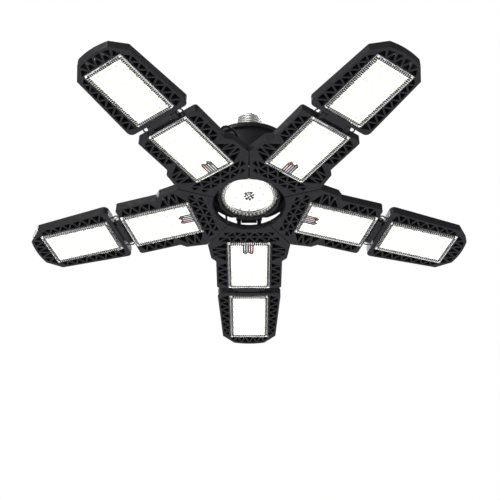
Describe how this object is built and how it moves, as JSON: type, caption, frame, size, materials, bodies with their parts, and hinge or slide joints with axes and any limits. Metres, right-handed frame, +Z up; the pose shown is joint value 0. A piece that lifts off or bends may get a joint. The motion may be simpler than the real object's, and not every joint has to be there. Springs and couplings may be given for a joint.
{
  "type": "folding led ceiling lamp",
  "caption": "Screw-in ceiling lamp: a round hub with a centre light and folding arms, each of two hinged light panels in black truss trays.",
  "frame": {"origin": "on the screw shell's axis, at the middle of its straight stretch", "axes": "+Z up along the screw shell's axis, into the socket; +X and +Y are across, with the first arm 18 degrees from +X towards +Y"},
  "size_m": [0.4334, 0.4142, 0.1295],
  "materials": {
    "shell_metal": "bright nickel plate",
    "contact_metal": "tinned",
    "base_glass": "glossy",
    "black_housing": "fine satin moulding",
    "led_board": "white solder mask",
    "clear_cover": "clear moulded",
    "steel_pin": "satin",
    "circuit_board": "solder mask",
    "transformer_tape": "tape",
    "capacitor_sleeve": "sleeve",
    "cable_rubber": "matte",
    "wire_sleeve": "satin"
  },
  "bodies": {
    "hub": {"screw_shell": "shell_metal", "base_insulator": "base_glass", "contact_button": "contact_metal", "heat_cap": "black_housing", "drum": "black_housing", "cable_grommets": "cable_rubber", "hinge_carrier": "black_housing", "inner_hinge_pins": "steel_pin", "lamp_housing": "black_housing", "center_led_board": "led_board", "center_lens": "clear_cover", "driver_board": "circuit_board", "driver_transformer": "transformer_tape", "driver_capacitors": "capacitor_sleeve", "housing_screws": "steel_pin", "cable_1": "cable_rubber", "cable_2": "cable_rubber", "cable_3": "cable_rubber", "cable_4": "cable_rubber", "cable_5": "cable_rubber"},
    "inner_1": {"inner_frame_1": "black_housing", "inner_led_board_1": "led_board", "inner_lens_1": "clear_cover", "outer_hinge_pin_1": "steel_pin", "hinge_wires_1": "wire_sleeve"},
    "outer_1": {"outer_frame_1": "black_housing", "outer_led_board_1": "led_board", "outer_lens_1": "clear_cover"},
    "inner_2": {"inner_frame_2": "black_housing", "inner_led_board_2": "led_board", "inner_lens_2": "clear_cover", "outer_hinge_pin_2": "steel_pin", "hinge_wires_2": "wire_sleeve"},
    "outer_2": {"outer_frame_2": "black_housing", "outer_led_board_2": "led_board", "outer_lens_2": "clear_cover"},
    "inner_3": {"inner_frame_3": "black_housing", "inner_led_board_3": "led_board", "inner_lens_3": "clear_cover", "outer_hinge_pin_3": "steel_pin", "hinge_wires_3": "wire_sleeve"},
    "outer_3": {"outer_frame_3": "black_housing", "outer_led_board_3": "led_board", "outer_lens_3": "clear_cover"},
    "inner_4": {"inner_frame_4": "black_housing", "inner_led_board_4": "led_board", "inner_lens_4": "clear_cover", "outer_hinge_pin_4": "steel_pin", "hinge_wires_4": "wire_sleeve"},
    "outer_4": {"outer_frame_4": "black_housing", "outer_led_board_4": "led_board", "outer_lens_4": "clear_cover"},
    "inner_5": {"inner_frame_5": "black_housing", "inner_led_board_5": "led_board", "inner_lens_5": "clear_cover", "outer_hinge_pin_5": "steel_pin", "hinge_wires_5": "wire_sleeve"},
    "outer_5": {"outer_frame_5": "black_housing", "outer_led_board_5": "led_board", "outer_lens_5": "clear_cover"}
  },
  "joints": [
    {"name": "inner_1_hinge", "type": "hinge", "parent": "hub", "child": "inner_1", "pos_m": [0.03671, 0.01193, -0.0909], "axis": [0.309, -0.9511, 0], "range_deg": [0, 50], "deforming": ["cable_1"]},
    {"name": "outer_1_hinge", "type": "hinge", "parent": "inner_1", "child": "outer_1", "pos_m": [0.12364, 0.04017, -0.1043], "axis": [0.309, -0.9511, 0], "range_deg": [-90, 85], "deforming": ["hinge_wires_1"]},
    {"name": "inner_2_hinge", "type": "hinge", "parent": "hub", "child": "inner_2", "pos_m": [0, 0.0386, -0.0909], "axis": [1, 0, 0], "range_deg": [0, 50], "deforming": ["cable_2"]},
    {"name": "outer_2_hinge", "type": "hinge", "parent": "inner_2", "child": "outer_2", "pos_m": [0, 0.13, -0.1043], "axis": [1, 0, 0], "range_deg": [-90, 85], "deforming": ["hinge_wires_2"]},
    {"name": "inner_3_hinge", "type": "hinge", "parent": "hub", "child": "inner_3", "pos_m": [-0.03671, 0.01193, -0.0909], "axis": [0.309, 0.9511, 0], "range_deg": [0, 50], "deforming": ["cable_3"]},
    {"name": "outer_3_hinge", "type": "hinge", "parent": "inner_3", "child": "outer_3", "pos_m": [-0.12364, 0.04017, -0.1043], "axis": [0.309, 0.9511, 0], "range_deg": [-90, 85], "deforming": ["hinge_wires_3"]},
    {"name": "inner_4_hinge", "type": "hinge", "parent": "hub", "child": "inner_4", "pos_m": [-0.02269, -0.03123, -0.0909], "axis": [-0.809, 0.5878, 0], "range_deg": [0, 50], "deforming": ["cable_4"]},
    {"name": "outer_4_hinge", "type": "hinge", "parent": "inner_4", "child": "outer_4", "pos_m": [-0.07641, -0.10517, -0.1043], "axis": [-0.809, 0.5878, 0], "range_deg": [-90, 85], "deforming": ["hinge_wires_4"]},
    {"name": "inner_5_hinge", "type": "hinge", "parent": "hub", "child": "inner_5", "pos_m": [0.02269, -0.03123, -0.0909], "axis": [-0.809, -0.5878, 0], "range_deg": [0, 50], "deforming": ["cable_5"]},
    {"name": "outer_5_hinge", "type": "hinge", "parent": "inner_5", "child": "outer_5", "pos_m": [0.07641, -0.10517, -0.1043], "axis": [-0.809, -0.5878, 0], "range_deg": [-90, 85], "deforming": ["hinge_wires_5"]}
  ]
}
